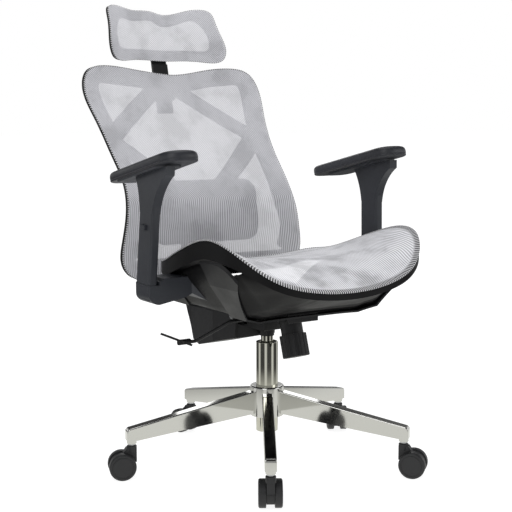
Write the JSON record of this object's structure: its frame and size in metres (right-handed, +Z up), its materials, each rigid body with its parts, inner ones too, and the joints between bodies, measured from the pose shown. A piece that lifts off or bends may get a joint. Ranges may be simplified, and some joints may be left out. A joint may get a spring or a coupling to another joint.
{
  "type": "mesh task chair",
  "caption": "Reclining mesh task chair with headrest, ribbed lumbar panel, height-adjustable T arms, gas lift and polished star base on twin-wheel casters.",
  "frame": {"origin": "on the floor, on the axis of the gas lift", "axes": "+Z up, -Y is the way the sitter faces, +X is the sitter's left"},
  "size_m": [0.7053, 0.8539, 1.074],
  "materials": {
    "polished_base": "mirror polished",
    "chrome_tube": "polished",
    "steel": "zinc plated",
    "black_steel": "satin black powder coat",
    "black_plastic": "fine moulded texture",
    "frame_plastic": "satin glass-filled nylon",
    "caster_plastic": "satin nylon",
    "pad_foam": "soft-touch foam skin",
    "mesh_fabric": "open woven elastic mesh",
    "guide_plastic": "natural acetal"
  },
  "bodies": {
    "base": {"star_base": "polished_base", "caster_stems": "steel", "gas_standpipe": "chrome_tube", "guide_bush": "guide_plastic", "thrust_bearing": "steel"},
    "lift_rod": {"piston_rod": "steel", "rod_clip": "steel"},
    "mechanism": {"pressure_tube": "chrome_tube", "mechanism_housing": "black_steel", "column_sleeve": "black_plastic", "spring_cup": "black_plastic", "tension_spring": "steel", "seat_pivot_pin": "steel", "back_pivot_pin": "steel"},
    "knob": {"tension_knob": "black_plastic", "tension_bolt": "steel"},
    "rocker": {"valve_rocker": "black_plastic"},
    "valve": {"valve_pin": "steel"},
    "lever": {"height_lever": "black_plastic"},
    "back": {"back_support": "black_plastic", "back_brace": "frame_plastic", "back_frame": "frame_plastic", "back_mesh": "mesh_fabric", "back_bolts": "steel", "headrest_socket": "black_plastic"},
    "seat": {"seat_carrier": "black_steel", "seat_shell": "black_plastic", "seat_frame": "frame_plastic", "seat_mesh": "mesh_fabric", "seat_bolts": "steel", "arm_bracket_left": "black_plastic", "arm_bracket_right": "black_plastic", "arm_post_left": "black_plastic", "arm_post_right": "black_plastic"},
    "lumbar": {"lumbar_panel": "black_plastic"},
    "head_stem": {"headrest_stem": "black_plastic"},
    "headrest": {"headrest_frame": "frame_plastic", "headrest_mesh": "mesh_fabric", "headrest_pin": "steel"},
    "armrest_left": {"arm_sleeve_left": "black_plastic", "arm_pad_left": "pad_foam"},
    "button_left": {"height_button_left": "black_plastic"},
    "armrest_right": {"arm_sleeve_right": "black_plastic", "arm_pad_right": "pad_foam"},
    "button_right": {"height_button_right": "black_plastic"},
    "caster_1": {"caster_hood_1": "caster_plastic", "caster_axle_1": "steel"},
    "wheels_1": {"caster_wheels_1": "caster_plastic"},
    "caster_2": {"caster_hood_2": "caster_plastic", "caster_axle_2": "steel"},
    "wheels_2": {"caster_wheels_2": "caster_plastic"},
    "caster_3": {"caster_hood_3": "caster_plastic", "caster_axle_3": "steel"},
    "wheels_3": {"caster_wheels_3": "caster_plastic"},
    "caster_4": {"caster_hood_4": "caster_plastic", "caster_axle_4": "steel"},
    "wheels_4": {"caster_wheels_4": "caster_plastic"},
    "caster_5": {"caster_hood_5": "caster_plastic", "caster_axle_5": "steel"},
    "wheels_5": {"caster_wheels_5": "caster_plastic"}
  },
  "joints": [
    {"name": "swivel", "type": "hinge", "parent": "base", "child": "lift_rod", "pos_m": [0, 0, 0.2], "axis": [0, 0, 1], "continuous": true},
    {"name": "height", "type": "slide", "parent": "lift_rod", "child": "mechanism", "axis": [0, 0, 1], "range_m": [0, 0.1]},
    {"name": "tension", "type": "hinge", "parent": "mechanism", "child": "knob", "pos_m": [0, -0.092, 0.352], "axis": [0, -0.3007, -0.9537], "continuous": true},
    {"name": "lever_lift", "type": "hinge", "parent": "mechanism", "child": "rocker", "pos_m": [-0.03, 0.03, 0.336], "axis": [0, 1, 0], "range_deg": [0, 5.5], "stiffness_Nm_per_rad": 0.5, "springref_deg": -5.73},
    {"name": "valve_press", "type": "slide", "parent": "mechanism", "child": "valve", "axis": [0, 0, -1], "range_m": [0, 0.0035]},
    {"name": "tilt_lock", "type": "slide", "parent": "rocker", "child": "lever", "axis": [-1, 0, 0], "range_m": [0, 0.008]},
    {"name": "recline", "type": "hinge", "parent": "mechanism", "child": "back", "pos_m": [0, 0.062, 0.343], "axis": [-1, 0, 0], "range_deg": [-18, 0]},
    {"name": "seat_tilt", "type": "hinge", "parent": "mechanism", "child": "seat", "pos_m": [0, -0.125, 0.368], "axis": [-1, 0, 0], "range_deg": [-9, 0]},
    {"name": "lumbar_height", "type": "slide", "parent": "back", "child": "lumbar", "axis": [0, 0.135, 0.9908], "range_m": [-0.02, 0]},
    {"name": "headrest_height", "type": "slide", "parent": "back", "child": "head_stem", "axis": [0, 0.2419, 0.9703], "range_m": [0, 0.05]},
    {"name": "headrest_tilt", "type": "hinge", "parent": "head_stem", "child": "headrest", "pos_m": [0, 0.512, 0.958], "axis": [-1, 0, 0], "range_deg": [-10, 25]},
    {"name": "arm_height_left", "type": "slide", "parent": "seat", "child": "armrest_left", "axis": [-0.0471, -0.0401, 0.9981], "range_m": [0, 0.07]},
    {"name": "button_press_left", "type": "slide", "parent": "armrest_left", "child": "button_left", "axis": [-0.9989, 0, -0.0471], "range_m": [0, 0.003], "stiffness_N_per_m": 400, "springref_m": -0.002},
    {"name": "arm_height_right", "type": "slide", "parent": "seat", "child": "armrest_right", "axis": [0.0471, -0.0401, 0.9981], "range_m": [0, 0.07]},
    {"name": "button_press_right", "type": "slide", "parent": "armrest_right", "child": "button_right", "axis": [0.9989, 0, -0.0471], "range_m": [0, 0.003], "stiffness_N_per_m": 400, "springref_m": -0.002},
    {"name": "caster_swivel_1", "type": "hinge", "parent": "base", "child": "caster_1", "pos_m": [-0.16924, -0.26875, 0.06], "axis": [0, 0, 1], "continuous": true},
    {"name": "caster_roll_1", "type": "hinge", "parent": "caster_1", "child": "wheels_1", "pos_m": [-0.15758, -0.25009, 0.03], "axis": [-0.848, 0.5299, 0], "continuous": true},
    {"name": "caster_swivel_2", "type": "hinge", "parent": "base", "child": "caster_2", "pos_m": [0.2033, -0.24401, 0.06], "axis": [0, 0, 1], "continuous": true},
    {"name": "caster_roll_2", "type": "hinge", "parent": "caster_2", "child": "wheels_2", "pos_m": [0.21744, -0.26086, 0.03], "axis": [0.766, 0.6428, 0], "continuous": true},
    {"name": "caster_swivel_3", "type": "hinge", "parent": "base", "child": "caster_3", "pos_m": [0.29489, 0.11795, 0.06], "axis": [0, 0, 1], "continuous": true},
    {"name": "caster_roll_3", "type": "hinge", "parent": "caster_3", "child": "wheels_3", "pos_m": [0.30589, 0.137, 0.03], "axis": [-0.866, 0.5, 0], "continuous": true},
    {"name": "caster_swivel_4", "type": "hinge", "parent": "base", "child": "caster_4", "pos_m": [-0.02105, 0.3169, 0.06], "axis": [0, 0, 1], "continuous": true},
    {"name": "caster_roll_4", "type": "hinge", "parent": "caster_4", "child": "wheels_4", "pos_m": [-0.02674, 0.33815, 0.03], "axis": [-0.9659, -0.2588, 0], "continuous": true},
    {"name": "caster_swivel_5", "type": "hinge", "parent": "base", "child": "caster_5", "pos_m": [-0.3079, 0.07791, 0.06], "axis": [0, 0, 1], "continuous": true},
    {"name": "caster_roll_5", "type": "hinge", "parent": "caster_5", "child": "wheels_5", "pos_m": [-0.32857, 0.08543, 0.03], "axis": [-0.342, -0.9397, 0], "continuous": true}
  ],
  "couplings": [
    {"joint": "seat_tilt", "follows": "recline", "ratio": 0.5},
    {"joint": "valve_press", "follows": "lever_lift", "m_per_rad": 0.034}
  ]
}
